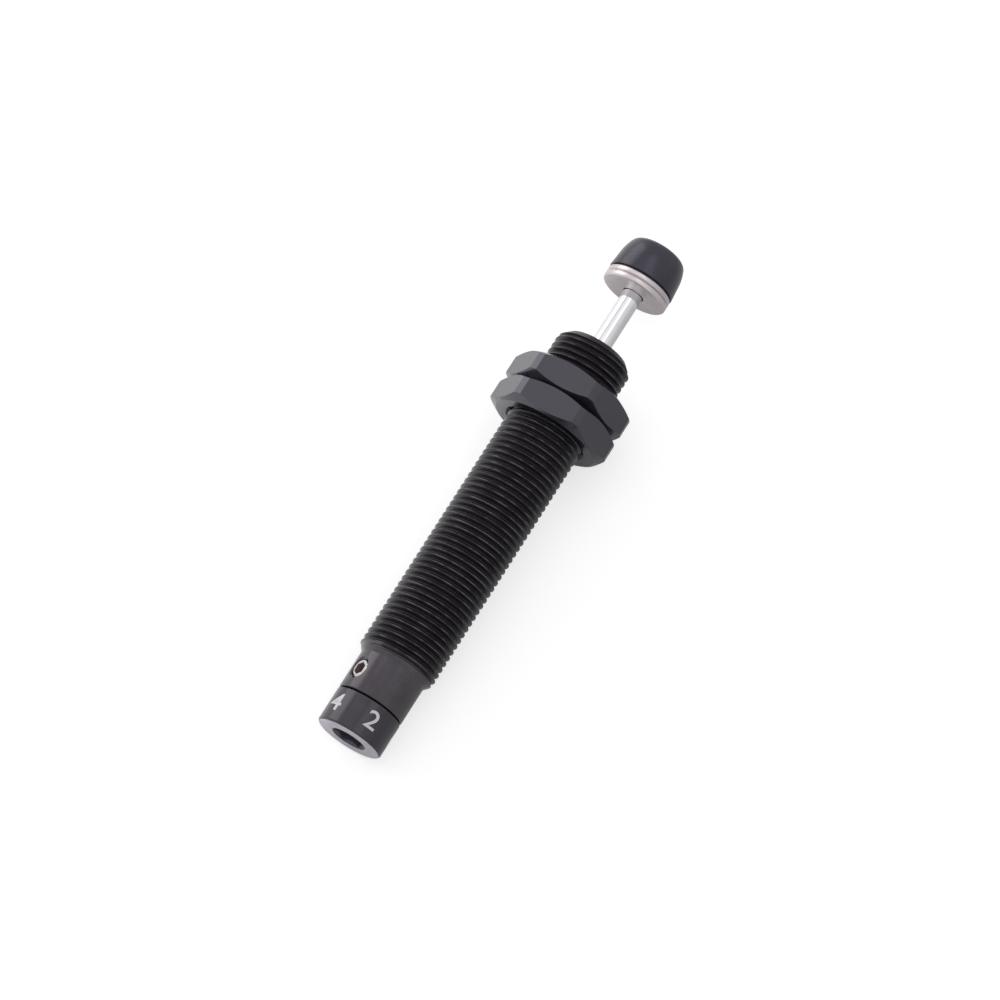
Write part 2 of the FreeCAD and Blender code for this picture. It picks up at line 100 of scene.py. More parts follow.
bpy.ops.object.select_all(action="DESELECT")
bpy.ops.object.camera_add(location=aim + to_camera * distance)
camera = bpy.context.object
camera.name = "studio_camera"
camera.rotation_euler = Matrix((right, up, to_camera)).transposed().to_euler()
camera.data.sensor_width = sensor_mm
camera.data.lens = lens_mm
camera.data.clip_start = 10 * MM
bpy.context.scene.camera = camera
print("camera stands at, in mm:", [round(c / MM, 1) for c in camera.location])

# %% [markdown]
# ## Nodes without the typing
# A material is a small tree of nodes. These helpers add a node, link two sockets and start a
# node group, so that the cells below can read as a recipe.

# %% Helpers for node trees
def plug(tree, socket, value):
    """Gives a socket a number or colour, or links it to another socket."""
    if isinstance(value, bpy.types.NodeSocket):
        tree.links.new(value, socket)
    else:
        socket.default_value = value


def sum_of(tree, operation, first, second=0.0):
    """A Math node, such as ADD or MULTIPLY."""
    made = tree.nodes.new("ShaderNodeMath")
    made.operation = operation
    plug(tree, made.inputs[0], first)
    plug(tree, made.inputs[1], second)
    return made.outputs[0]


def ramp(tree, value, low, high, out_low=0.0, out_high=1.0):
    """A Map Range node: low becomes out_low, high becomes out_high, with a soft start and end."""
    made = tree.nodes.new("ShaderNodeMapRange")
    made.interpolation_type = "SMOOTHSTEP"
    for socket, number in zip(made.inputs, (value, low, high, out_low, out_high)):
        plug(tree, socket, number)
    return made.outputs["Result"]


def blend_colour(tree, share, first, second):
    """A Mix node between two colours."""
    made = tree.nodes.new("ShaderNodeMix")
    made.data_type = "RGBA"
    plug(tree, made.inputs["Factor"], share)
    plug(tree, made.inputs[6], first)
    plug(tree, made.inputs[7], second)
    return made.outputs[2]


def noise(tree, vector, scale, detail=3.0, roughness=0.55):
    """A Noise Texture node, which gives a value near a half that varies over space."""
    made = tree.nodes.new("ShaderNodeTexNoise")
    plug(tree, made.inputs["Vector"], vector)
    plug(tree, made.inputs["Scale"], scale)
    plug(tree, made.inputs["Detail"], detail)
    plug(tree, made.inputs["Roughness"], roughness)
    return made.outputs["Fac"]


def split(tree, vector):
    """The X, Y and Z of a vector."""
    made = tree.nodes.new("ShaderNodeSeparateXYZ")
    plug(tree, made.inputs[0], vector)
    return made.outputs


def distance_from_axis(tree, parts):
    """How far a place lies from the axis, from its X, Y and Z."""
    return sum_of(tree, "SQRT", sum_of(
        tree, "ADD",
        sum_of(tree, "MULTIPLY", parts["Y"], parts["Y"]),
        sum_of(tree, "MULTIPLY", parts["Z"], parts["Z"]),
    ))


def start_group(name, inputs, outputs):
    """An empty node group with named sockets. Inputs are (name, kind, value)."""
    tree = bpy.data.node_groups.new(name, "ShaderNodeTree")
    for label, kind, value in inputs:
        socket = tree.interface.new_socket(name=label, in_out="INPUT", socket_type="NodeSocket" + kind)
        if value is not None:
            socket.default_value = value
    for label in outputs:
        tree.interface.new_socket(name=label, in_out="OUTPUT", socket_type="NodeSocketFloat")
    return tree, tree.nodes.new("NodeGroupInput").outputs, tree.nodes.new("NodeGroupOutput").inputs


def use_group(tree, group, vector, **values):
    """Places a group in a material, with its own values."""
    made = tree.nodes.new("ShaderNodeGroup")
    made.node_tree = group
    plug(tree, made.inputs["Vector"], vector)
    for label, value in values.items():
        plug(tree, made.inputs[label], value)
    return made.outputs


# %% [markdown]
# ## The stage
# The part lies on a pale table with its rear nut and the back of its dial, so the table is tilted
# against the axis by a few degrees. The camera sees it white. That white comes from the Light Path
# node and not from stronger lamps, which would wash out the part. The plain pale paint below it
# still catches the part's shadow. What the part mirrors of the table is a painted glow, brighter on
# the window's side, with a painted shadow, nearly dark, underneath the part and on the side away
# from the window, where its own shadow would lie.

# %% Table
table_tilt = math.radians(3.65)
table_side = 6.0
table_shift = -30 * MM
dial_rest = Vector((-61.65, 0, -5.1)) * MM
table_normal = Vector((math.sin(table_tilt), 0, math.cos(table_tilt)))
toward_dial = table_normal.cross(Vector((0, 1, 0)))
table_point = dial_rest + toward_dial * table_shift

bpy.ops.object.select_all(action="DESELECT")
bpy.ops.mesh.primitive_grid_add(
    x_subdivisions=4, y_subdivisions=4, size=table_side, location=table_point,
)
table = bpy.context.object
table.name = "table"
table.rotation_euler = (0, table_tilt, 0)
bpy.ops.object.transform_apply(location=True, rotation=True, scale=True)
table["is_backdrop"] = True

# %% Table paint
seen_white, painted_mirror_white, painted_mirror_shade = 0.62, 0.60, 0.12
painted_shade_end_y, white_start_y = 4 * MM, 11 * MM
pale_paint = (0.74, 0.74, 0.75, 1)

table_paint = bpy.data.materials.new("table_paint")
table_paint.use_nodes = True
tree = table_paint.node_tree
tree.nodes.clear()
path = tree.nodes.new("ShaderNodeLightPath").outputs
side = tree.nodes.new("ShaderNodeNewGeometry").outputs
seen_clear = sum_of(tree, "MAXIMUM", path["Is Camera Ray"], path["Is Transmission Ray"])
place = split(tree, tree.nodes.new("ShaderNodeTexCoord").outputs["Object"])
# Painted reflection: the table glows only to mirrors, with a painted shadow under the part and on its
# side away from the window
painted_mirror_light = ramp(tree, place["Y"], painted_shade_end_y, white_start_y, painted_mirror_shade, painted_mirror_white)
camera_glow = sum_of(tree, "MULTIPLY", seen_clear, seen_white)
mirror_glow = sum_of(tree, "MULTIPLY", path["Is Glossy Ray"], painted_mirror_light)
glow = tree.nodes.new("ShaderNodeEmission")
plug(tree, glow.inputs["Strength"], sum_of(tree, "ADD", camera_glow, mirror_glow))
paint = tree.nodes.new("ShaderNodeBsdfDiffuse")
plug(tree, paint.inputs["Color"], pale_paint)
both = tree.nodes.new("ShaderNodeAddShader")
plug(tree, both.inputs[0], glow.outputs[0])
plug(tree, both.inputs[1], paint.outputs[0])
clear = tree.nodes.new("ShaderNodeBsdfTransparent")
pick = tree.nodes.new("ShaderNodeMixShader")
plug(tree, pick.inputs[0], side["Backfacing"])
plug(tree, pick.inputs[1], both.outputs[0])
plug(tree, pick.inputs[2], clear.outputs[0])
out = tree.nodes.new("ShaderNodeOutputMaterial")
plug(tree, out.inputs["Surface"], pick.outputs[0])
table.data.materials.append(table_paint)
print("table passes the dial's lowest point, tilted by", round(math.degrees(table_tilt), 2), "degrees")

# %% [markdown]
# ## The surroundings
# Bright metal is only as good as what it mirrors. In a light tent the walls are white, and the
# side away from the window is duller, which draws the grey edge along a chromed rod. The world
# does the same: it is white to the camera, a little less than white to mirrors, and weaker still
# as plain light, which fills the shadows.

# %% World
tent_left, tent_right, fill_light = 0.86, 0.62, 0.50
tent_change_y = (-1.03, -0.72)

world = bpy.data.worlds.new("light_tent")
bpy.context.scene.world = world
world.use_nodes = True
tree = world.node_tree
tree.nodes.clear()
path = tree.nodes.new("ShaderNodeLightPath").outputs
toward = split(tree, tree.nodes.new("ShaderNodeTexCoord").outputs["Generated"])
tent = ramp(tree, toward["Y"], *tent_change_y, tent_right, tent_left)
seen_clear = sum_of(tree, "MAXIMUM", path["Is Camera Ray"], path["Is Transmission Ray"])
not_mirrored = sum_of(tree, "SUBTRACT", 1.0, path["Is Glossy Ray"])
ambient = sum_of(tree, "MULTIPLY", not_mirrored, fill_light)
strength = sum_of(tree, "ADD", ambient, sum_of(tree, "MULTIPLY", path["Is Glossy Ray"], tent))
strength = sum_of(tree, "MAXIMUM", strength, seen_clear)
sky = tree.nodes.new("ShaderNodeBackground")
plug(tree, sky.inputs["Color"], (1, 1, 1, 1))
plug(tree, sky.inputs["Strength"], strength)
out = tree.nodes.new("ShaderNodeOutputWorld")
plug(tree, out.inputs["Surface"], sky.outputs[0])
print("world: white to the camera, a light tent to reflections")

# %% [markdown]
# ## The lamps
# A dark satin cylinder shows a lamp as a pale band along its side, so the lamps are long panels
# that lie along the axis. The low window panel gives the band on the left. Two weaker panels,
# higher up and near the camera's own direction, keep the middle from going black. Each panel
# leans against the axis as much as the camera does, on the other side, so every surface along the
# axis can mirror it to the camera. Its turn round the axis starts on the left.

# %% Lamps
lamp_away_mm = 500
daylight = (1.0, 0.985, 0.98)
cool_white = (0.98, 0.98, 1.0)


def soft_lamp(name, turn_degrees, long_mm, wide_mm, brightness, colour):
    """An area lamp that every surface along the axis mirrors. A brightness of 1 looks white."""
    turn = math.radians(turn_degrees)
    ring = math.cos(tilt)
    outward = Vector((math.sin(tilt), ring * math.cos(turn), ring * math.sin(turn)))
    place = aim + outward * lamp_away_mm * MM
    bpy.ops.object.select_all(action="DESELECT")
    bpy.ops.object.light_add(type="AREA", location=place)
    lamp = bpy.context.object
    lamp.name = name
    lamp.data.shape = "RECTANGLE"
    lamp.data.size = long_mm * MM
    lamp.data.size_y = wide_mm * MM
    lamp.data.energy = brightness * math.pi * lamp.data.size * lamp.data.size_y
    lamp.data.color = colour
    lamp.rotation_euler = (aim - place).to_track_quat("-Z", "Y").to_euler()
    print("lamp", name, "of", round(lamp.data.energy, 2), "W")


soft_lamp("window_low", 22.0, 600, 325, 1.35, daylight)
soft_lamp("window_high", 76.0, 600, 250, 0.25, daylight)
soft_lamp("fill_panel", 108.0, 520, 175, 0.45, cool_white)

bpy.context.scene.view_settings.view_transform = "Standard"

# %% [markdown]
# ## Modelling helpers
# Nearly every piece of a shock absorber comes from a lathe, so it is drawn as half of its outline
# and spun round the axis. The outline starts as a plane merged to one point, and each corner is
# extruded from the last one. All sizes below are millimetres: distance along the axis first, then
# radius. The origin lies in the front face of the front nut.

# %% Helpers for turned pieces
FULL_TURN = 2 * math.pi
TURN_STEPS = 96
WELD = 1e-7


def pick_only(piece):
    """Makes a piece the only selected one, and the active one."""
    bpy.ops.object.select_all(action="DESELECT")
    piece.select_set(True)
    bpy.context.view_layer.objects.active = piece


def draw_outline(name, points):
    """Draws a line through (x, radius) points, and leaves it in edit mode."""
    bpy.ops.object.select_all(action="DESELECT")
    bpy.ops.mesh.primitive_plane_add(size=MM)
    piece = bpy.context.object
    piece.name = piece.data.name = name
    bpy.ops.object.mode_set(mode="EDIT")
    bpy.ops.mesh.merge(type="CENTER")
    bpy.ops.transform.translate(value=(points[0][0] * MM, 0, points[0][1] * MM))
    for here, there in pairwise(points):
        step = ((there[0] - here[0]) * MM, 0, (there[1] - here[1]) * MM)
        bpy.ops.mesh.extrude_region_move(TRANSFORM_OT_translate={"value": step})
    bpy.ops.mesh.select_all(action="SELECT")
    return piece


def close_shell():
    """In edit mode: welds what lies together, closes open ends and turns the faces outwards."""
    bpy.ops.mesh.select_all(action="SELECT")
    bpy.ops.mesh.remove_doubles(threshold=WELD)
    bpy.ops.mesh.fill_holes(sides=0)
    bpy.ops.mesh.select_all(action="SELECT")
    bpy.ops.mesh.normals_make_consistent(inside=False)
    bpy.ops.object.mode_set(mode="OBJECT")


def turned(name, points, closed=False, steps=TURN_STEPS, angle=FULL_TURN):
    """A turned piece from half of its outline. A closed outline is a ring's section."""
    piece = draw_outline(name, points + points[:1] if closed else points)
    bpy.ops.mesh.remove_doubles(threshold=WELD)
    bpy.ops.mesh.spin(steps=steps, angle=angle, center=(0, 0, 0), axis=(1, 0, 0))
    close_shell()
    return piece


def apply_modifier(piece, kind, **settings):
    """Adds a modifier, sets it up and applies it."""
    pick_only(piece)
    bpy.ops.object.modifier_add(type=kind)
    made = piece.modifiers[-1]
    for label, value in settings.items():
        setattr(made, label, value)
    bpy.ops.object.modifier_apply(modifier=made.name)


def carve(piece, tool, operation="DIFFERENCE"):
    """Cuts a piece with a tool, or keeps what they share, and throws the tool away."""
    apply_modifier(piece, "BOOLEAN", object=tool, operation=operation, solver="MANIFOLD")
    bpy.data.objects.remove(tool)


def soften(piece, width_mm, segments=2, sharper_than=30.0):
    """Rounds the sharp edges a little, as deburring and plating do."""
    apply_modifier(
        piece,
        "BEVEL",
        width=width_mm * MM,
        segments=segments,
        limit_method="ANGLE",
        angle_limit=math.radians(sharper_than),
    )


# %% Helpers for prisms and placing
def hex_bar(name, x_low, x_high, across_flats):
    """A hexagonal bar on the axis, with two of its flats level."""
    bpy.ops.object.select_all(action="DESELECT")
    bpy.ops.mesh.primitive_cylinder_add(
        vertices=6,
        radius=across_flats / math.sqrt(3) * MM,
        depth=(x_high - x_low) * MM,
        location=((x_high + x_low) / 2 * MM, 0, 0),
        rotation=(0, math.pi / 2, 0),
    )
    bar = bpy.context.object
    bar.name = bar.data.name = name
    bpy.ops.object.transform_apply(location=True, rotation=True, scale=True)
    return bar


def blade(name, x_low, x_high, width, length):
    """A flat bar across the axis, which cuts a slot."""
    bpy.ops.object.select_all(action="DESELECT")
    bpy.ops.mesh.primitive_cube_add(size=MM, location=((x_low + x_high) / 2 * MM, 0, 0))
    bar = bpy.context.object
    bar.name = name
    bar.scale = (x_high - x_low, width, length)
    bpy.ops.object.transform_apply(location=True, rotation=True, scale=True)
    return bar


def put_on_neck(piece):
    """Turns a piece that was made along the axis so that it points out of the screw hole."""
    outward = Vector((0, math.cos(screw_angle), math.sin(screw_angle)))
    backward = Vector((-1, 0, 0))
    turn = Matrix((outward, backward, outward.cross(backward))).transposed()
    piece.matrix_world = Matrix.Translation((screw_x * MM, 0, 0)) @ turn.to_4x4()
    pick_only(piece)
    bpy.ops.object.transform_apply(location=True, rotation=True, scale=True)


def second_finish(piece, material, belongs):
    """Gives another material to the faces whose centre, in millimetres, belongs to it."""
    piece.data.materials.append(material)
    chosen = [face for face in piece.data.polygons if belongs(*(face.center / MM))]
    for face in chosen:
        face.material_index = len(piece.data.materials) - 1
    print(material.name, "on", len(chosen), "faces of", piece.name)


def dress(piece, body, slot, material, *nodes, smooth=32.0, level_faces=False):
    """Smooths a finished piece, gives it its material and says what it rides on and replaces."""
    pick_only(piece)
    bpy.ops.object.shade_smooth_by_angle(angle=math.radians(smooth))
    if level_faces:
        apply_modifier(piece, "WEIGHTED_NORMAL", keep_sharp=True)
    piece.data.materials.clear()
    piece.data.materials.append(material)
    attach(piece, body)
    if nodes:
        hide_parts(*nodes)
    print(piece.name, "rides on", body, "with", len(piece.data.polygons), "faces")


# %% [markdown]
# ## Effects that the finishes share
# Four effects come back on nearly every surface here. Fine lines run round whatever a lathe has
# cut, on its sides and on its end faces. Coatings vary a little in tone from place to place. Edges
# lose their coating first. Dust and small nicks lie here and there. The fifth effect is for the
# thread: its crests are rubbed by all that slides over them, and the same lighter colour is also a
# painted highlight along each crest; the distance from the axis tells crest from root. Each effect
# is one node group with its own inputs, so that steel, bronze and black oxide can all use it in
# their own measure.

# %% Lathe lines
lathe_lines, given, result = start_group(
    "lathe_lines",
    [("Vector", "Vector", None), ("Lines", "Float", 9000.0)],
    ["Height"],
)
slow_change = 120.0
parts = split(lathe_lines, given["Vector"])
radius = distance_from_axis(lathe_lines, parts)
flat = lathe_lines.nodes.new("ShaderNodeCombineXYZ")
plug(lathe_lines, flat.inputs[0], sum_of(lathe_lines, "MULTIPLY", parts["X"], given["Lines"]))
plug(lathe_lines, flat.inputs[1], sum_of(lathe_lines, "MULTIPLY", radius, given["Lines"]))
plug(lathe_lines, flat.inputs[2], sum_of(lathe_lines, "MULTIPLY", parts["Y"], slow_change))
plug(lathe_lines, result["Height"], noise(lathe_lines, flat.outputs[0], 1.0, 2.0, 0.6))
print("group", lathe_lines.name)

# %% Uneven tone
mottle, given, result = start_group(
    "mottle",
    [("Vector", "Vector", None), ("Scale", "Float", 400.0), ("Contrast", "Float", 0.2)],
    ["Mask"],
)
broad = noise(mottle, given["Vector"], given["Scale"], 4.0, 0.6)
low = sum_of(mottle, "SUBTRACT", 0.5, given["Contrast"])
high = sum_of(mottle, "ADD", 0.5, given["Contrast"])
plug(mottle, result["Mask"], ramp(mottle, broad, low, high))
print("group", mottle.name)

# %% Worn edges
edge_wear, given, result = start_group(
    "edge_wear",
    [("Vector", "Vector", None), ("Radius", "Float", 0.12 * MM), ("Gain", "Float", 6.0)],
    ["Mask"],
)
rounded = edge_wear.nodes.new("ShaderNodeBevel")
rounded.samples = 4
plug(edge_wear, rounded.inputs["Radius"], given["Radius"])
true_side = edge_wear.nodes.new("ShaderNodeNewGeometry").outputs["Normal"]
same = edge_wear.nodes.new("ShaderNodeVectorMath")
same.operation = "DOT_PRODUCT"
plug(edge_wear, same.inputs[0], rounded.outputs[0])
plug(edge_wear, same.inputs[1], true_side)
turned_away = sum_of(edge_wear, "SUBTRACT", 1.0, same.outputs["Value"])
bare = sum_of(edge_wear, "MULTIPLY", turned_away, given["Gain"])
patchy = ramp(edge_wear, noise(edge_wear, given["Vector"], 900.0, 3.0), 0.38, 0.62)
worn_patches = sum_of(edge_wear, "MULTIPLY", bare, patchy)
plug(edge_wear, result["Mask"], ramp(edge_wear, worn_patches, 0.05, 0.6))
print("group", edge_wear.name)

# %% Dust and nicks
nicks, given, result = start_group(
    "nicks",
    [("Vector", "Vector", None), ("Scale", "Float", 2500.0), ("Share", "Float", 0.30)],
    ["Mask"],
)
spots = noise(nicks, given["Vector"], given["Scale"], 1.0, 0.5)
low = sum_of(nicks, "SUBTRACT", 1.0, given["Share"])
high = sum_of(nicks, "ADD", low, 0.06)
plug(nicks, result["Mask"], ramp(nicks, spots, low, high))
print("group", nicks.name)

# %% Rubbed crests, with a painted highlight
crest_wear_and_highlight, given, result = start_group(
    "crest_wear_and_highlight",
    [("Vector", "Vector", None), ("Inner", "Float", 5.9 * MM), ("Outer", "Float", 6.0 * MM)],
    ["Mask"],
)
radius = distance_from_axis(crest_wear_and_highlight, split(crest_wear_and_highlight, given["Vector"]))
plug(crest_wear_and_highlight, result["Mask"], ramp(crest_wear_and_highlight, radius, given["Inner"], given["Outer"]))
print("group", crest_wear_and_highlight.name)

# %% [markdown]
# ## The metal finishes
# Black oxide is a thin dark skin on steel. It has a satin gloss, no colour of its own beyond a
# hint of blue or brown, and it wears brown and then bright on crests and edges; on the thread's
# crests that lighter colour is partly a painted highlight. It is a dark base under a mirror that is
# stronger than a plastic's, with a hint of violet, so most of these finishes have a high index of
# refraction and a tint. The thread is cut and not ground, mirrors less, and is dullest in its roots.
# Nickel and chrome are bare mirrors of different softness. All of them are one recipe with other
# numbers: a colour in two tones, lathe lines that tilt the surface, and worn edges in a third
# colour.

# %% Metal recipe
LINE_HEIGHT = 0.004 * MM
ROOT_R = 5.45
ROOT_SOFTNESS = 0.2
EDGE_POLISH = 0.08


def metal(name, dark, light, worn, roughness, metallic, lines=9000.0, depth=0.6, wear=1.0,
          spread=0.08, edge=0.12, dust=0.5, ior=1.5, tint=(1, 1, 1), crest=None):
    """A turned or plated metal: two tones, lathe lines, nicks and worn edges.

    lines is their number to the metre and depth their strength. wear says how much is worn, edge
    how wide an edge wears, in millimetres, and crest between which radii a thread is rubbed and
    given a painted highlight in the worn colour.
    """
    made = bpy.data.materials.new(name)
    made.use_nodes = True
    tree = made.node_tree
    shader = tree.nodes["Principled BSDF"]
    place = tree.nodes.new("ShaderNodeTexCoord").outputs["Object"]
    tone = use_group(tree, mottle, place, Scale=420.0, Contrast=0.18)["Mask"]
    fine = use_group(tree, lathe_lines, place, Lines=lines)["Height"]
    bare = use_group(tree, edge_wear, place, Radius=edge * MM, Gain=6.0 * wear)["Mask"]
    small = use_group(tree, nicks, place, Scale=3200.0, Share=0.30)["Mask"]
    if crest:
        # Thread crests: real rubbing plus a painted highlight, both in the worn colour
        crest_rub_and_highlight = use_group(tree, crest_wear_and_highlight, place, Inner=crest[0] * MM, Outer=crest[1] * MM)["Mask"]
        patchy = ramp(tree, noise(tree, place, 520.0, 3.0), 0.40, 0.66)
        bare = sum_of(tree, "MAXIMUM", bare, sum_of(tree, "MULTIPLY", crest_rub_and_highlight, patchy))
    spots = sum_of(tree, "MULTIPLY", small, dust)
    worn_and_highlit_share = sum_of(tree, "MULTIPLY", sum_of(tree, "MAXIMUM", bare, spots), wear)
    colour = blend_colour(tree, tone, (*dark, 1), (*light, 1))
    plug(tree, shader.inputs["Base Color"], blend_colour(tree, worn_and_highlit_share, colour, (*worn, 1)))
    soft = ramp(tree, fine, 0.3, 0.7, roughness - spread, roughness + spread)
    if crest:
        height = use_group(tree, crest_wear_and_highlight, place, Inner=ROOT_R * MM, Outer=crest[0] * MM)["Mask"]
        soft = sum_of(tree, "ADD", soft, ramp(tree, height, 0.0, 1.0, ROOT_SOFTNESS, 0.0))
    polish = sum_of(tree, "MULTIPLY", worn_and_highlit_share, EDGE_POLISH)
    plug(tree, shader.inputs["Roughness"], sum_of(tree, "SUBTRACT", soft, polish))
    shader.inputs["Metallic"].default_value = metallic
    shader.inputs["IOR"].default_value = ior
    shader.inputs["Specular Tint"].default_value = (*tint, 1)
    bump = tree.nodes.new("ShaderNodeBump")
    bump.inputs["Strength"].default_value = depth
    bump.inputs["Distance"].default_value = LINE_HEIGHT
    plug(tree, bump.inputs["Height"], fine)
    plug(tree, shader.inputs["Normal"], bump.outputs[0])
    return made


# The thread's worn colour is partly wear and partly a painted highlight on its crests
black_body = metal("black_oxide_thread", (0.010, 0.0085, 0.011), (0.017, 0.0145, 0.018),
                   (0.155, 0.138, 0.148), 0.22, 0.0, wear=0.75, spread=0.04, edge=0.02, dust=0.3,
                   ior=1.38, tint=(0.95, 0.90, 1.0), crest=(5.90, 5.985))
black_neck = metal("black_oxide_neck", (0.035, 0.029, 0.035), (0.054, 0.045, 0.053),
                   (0.15, 0.11, 0.10), 0.20, 0.0, wear=0.6, depth=0.03, spread=0.015, dust=0.3,
                   ior=1.64, tint=(0.95, 0.90, 1.0))
black_nut = metal("black_oxide_nut", (0.006, 0.006, 0.008), (0.010, 0.009, 0.012),
                  (0.12, 0.11, 0.13), 0.25, 0.0, wear=0.4, depth=0.12, spread=0.03, dust=0.3,
                  ior=1.8, tint=(0.88, 0.85, 1.0))
black_dial = metal("black_oxide_dial", (0.014, 0.012, 0.016), (0.021, 0.018, 0.023),
                   (0.16, 0.11, 0.09), 0.20, 0.0, wear=0.6, depth=0.12, spread=0.02, dust=0.3,
                   ior=1.62, tint=(0.94, 0.90, 1.0))
broached = metal("broached_socket", (0.060, 0.060, 0.094), (0.076, 0.076, 0.118),
                 (0.16, 0.14, 0.15), 0.35, 0.0, lines=3000.0, wear=0.4,
                 ior=1.59, tint=(0.90, 0.90, 1.0))
rubbed_end = metal("rubbed_dial_end", (0.60, 0.565, 0.62), (0.71, 0.67, 0.73),
                   (0.28, 0.19, 0.14), 0.36, 1.0, lines=7000.0, depth=0.3, wear=0.9, edge=0.22,
                   dust=0.2)
nickel = metal("nickel_plate", (0.55, 0.505, 0.515), (0.62, 0.57, 0.58), (0.68, 0.63, 0.63),
               0.34, 1.0, lines=7000.0, depth=0.10, spread=0.03, wear=0.4, dust=0.2)
zinc = metal("zinc_plate", (0.52, 0.465, 0.47), (0.60, 0.54, 0.545), (0.66, 0.61, 0.61),
             0.16, 1.0, lines=7000.0, depth=0.2, spread=0.04, wear=0.5, dust=0.3)
# The set screw's socket: a painted shade, darker than the plating, for the shade deep in the socket
painted_socket_shade = metal("screw_socket_painted_shade", (0.18, 0.130, 0.130), (0.25, 0.185, 0.180),
                    (0.30, 0.24, 0.22), 0.40, 0.0, lines=3000.0, wear=0.4)
# A painted shade for the dark contact ring where the rod enters the plate
painted_contact_shade = metal("painted_rod_contact_shade", (0.020, 0.013, 0.015), (0.035, 0.024, 0.027),
                      (0.06, 0.045, 0.045), 0.45, 0.0, lines=3000.0, wear=0.4)
hard_chrome = metal("hard_chrome", (0.72, 0.72, 0.74), (0.76, 0.76, 0.785), (0.82, 0.82, 0.83),
                    0.07, 1.0, lines=14000.0, depth=0.08, spread=0.02, wear=0.2, dust=0.2)
steel = metal("turned_steel", (0.46, 0.46, 0.48), (0.56, 0.56, 0.58), (0.7, 0.7, 0.7),
              0.30, 1.0, lines=6000.0, wear=0.5)
bronze = metal("bearing_bronze", (0.52, 0.33, 0.15), (0.66, 0.45, 0.22), (0.8, 0.6, 0.35),
               0.34, 1.0, lines=6000.0, wear=0.5)
metals = (black_body, black_neck, black_nut, black_dial, broached, rubbed_end, nickel, zinc,
          painted_socket_shade, painted_contact_shade, hard_chrome, steel, bronze)
print("metals:", [made.name for made in metals])

# %% [markdown]
# ## The soft finishes
# The cap is moulded polyurethane: charcoal, satin, with the faint grain of its mould. Seals are
# black nitrile with the same grain, only finer. The foam is a mass of closed cells, which a
# Voronoi pattern gives. The dial's numbers are a thin coat of white paint.

# %% Soft recipe
GRAIN_HEIGHT = 0.02 * MM


def moulded(name, dark, light, roughness, grain, depth,
            cells=False, sheen=0.0, ior=1.5, tint=(1, 1, 1)):
    """A moulded plastic, rubber or paint: two tones, a fine grain or cells, and specks of dust."""
    made = bpy.data.materials.new(name)
    made.use_nodes = True
    tree = made.node_tree
    shader = tree.nodes["Principled BSDF"]
    place = tree.nodes.new("ShaderNodeTexCoord").outputs["Object"]
    tone = use_group(tree, mottle, place, Scale=300.0, Contrast=0.2)["Mask"]
    dust = use_group(tree, nicks, place, Scale=4200.0, Share=0.27)["Mask"]
    if cells:
        pattern = tree.nodes.new("ShaderNodeTexVoronoi")
        plug(tree, pattern.inputs["Vector"], place)
        pattern.inputs["Scale"].default_value = grain
        height = pattern.outputs["Distance"]
    else:
        height = noise(tree, place, grain, 4.0, 0.65)
    colour = blend_colour(tree, tone, (*dark, 1), (*light, 1))
    dusty = tuple(min(1.0, 2.2 * c + 0.02) for c in light)
    dust_share = sum_of(tree, "MULTIPLY", dust, 0.35)
    plug(tree, shader.inputs["Base Color"], blend_colour(tree, dust_share, colour, (*dusty, 1)))
    soft = ramp(tree, height, 0.3, 0.7, roughness - 0.05, roughness + 0.05)
    plug(tree, shader.inputs["Roughness"], soft)
    shader.inputs["Sheen Weight"].default_value = sheen
    shader.inputs["Sheen Roughness"].default_value = 0.25
    shader.inputs["IOR"].default_value = ior
    shader.inputs["Specular Tint"].default_value = (*tint, 1)
    bump = tree.nodes.new("ShaderNodeBump")
    bump.inputs["Strength"].default_value = depth
    bump.inputs["Distance"].default_value = GRAIN_HEIGHT
    plug(tree, bump.inputs["Height"], height)
    plug(tree, shader.inputs["Normal"], bump.outputs[0])
    return made


urethane = moulded("charcoal_polyurethane", (0.014, 0.013, 0.022), (0.019, 0.018, 0.029),
                   0.27, 2600.0, 0.06, sheen=0.20, ior=1.6, tint=(0.90, 0.86, 1.0))
seal_rubber = moulded("nitrile_rubber", (0.012, 0.012, 0.012), (0.020, 0.020, 0.020),
                      0.50, 3800.0, 0.35)
foam = moulded("closed_cell_foam", (0.07, 0.07, 0.07), (0.12, 0.12, 0.12),
               0.85, 2200.0, 1.0, cells=True)
white_paint = moulded("white_paint", (0.76, 0.73, 0.78), (0.85, 0.82, 0.87),
                      0.55, 5200.0, 0.3)
print("soft finishes:", [m.name for m in (urethane, seal_rubber, foam, white_paint)])

# %% [markdown]
# ## The threaded body
# The body is a steel tube with an M12 x 1 thread cut over all its length but the neck. Modelled
# rings would look like a thread and not be one: a nut couldn't travel along them. So one pitch of
# the real outline, root, flank, crest and flank, is swept round the axis by the Screw modifier,
# which lifts it by one pitch a turn. That endless threaded bar is then cut to what it shares with
# the turned blank, just as the lathe leaves it: bevelled nose, shoulder, neck and bores.

# %% Sizes of the body
nose_x, thread_end_x, neck_x, body_back_x = 6.2, -48.8, -49.9, -56.05
thread_r, neck_r, bore_r, stem_bore_r, spindle_bore_r = 6.0, 5.1, 4.0, 3.45, 1.95
nose_bevel, mouth_bevel, over = 1.3, 0.25, 0.05
guide_x, floor_x, partition_x = 5.2, -41.8, -47.3
snap_depth, snap_t = 0.4, 0.5
screw_x, screw_angle, screw_hole_r, screw_hole_bevel = -52.8, math.radians(45), 1.5, 0.35
pitch = 1.0
HALF_PITCH = [
    (0.0, 5.387), (0.045, 5.394), (0.085, 5.415), (0.125, 5.457),
    (0.415, 5.959), (0.445, 5.988), (0.5, 5.994),
]
ONE_PITCH = HALF_PITCH + [(1 - x, r) for x, r in reversed(HALF_PITCH[:-1])]


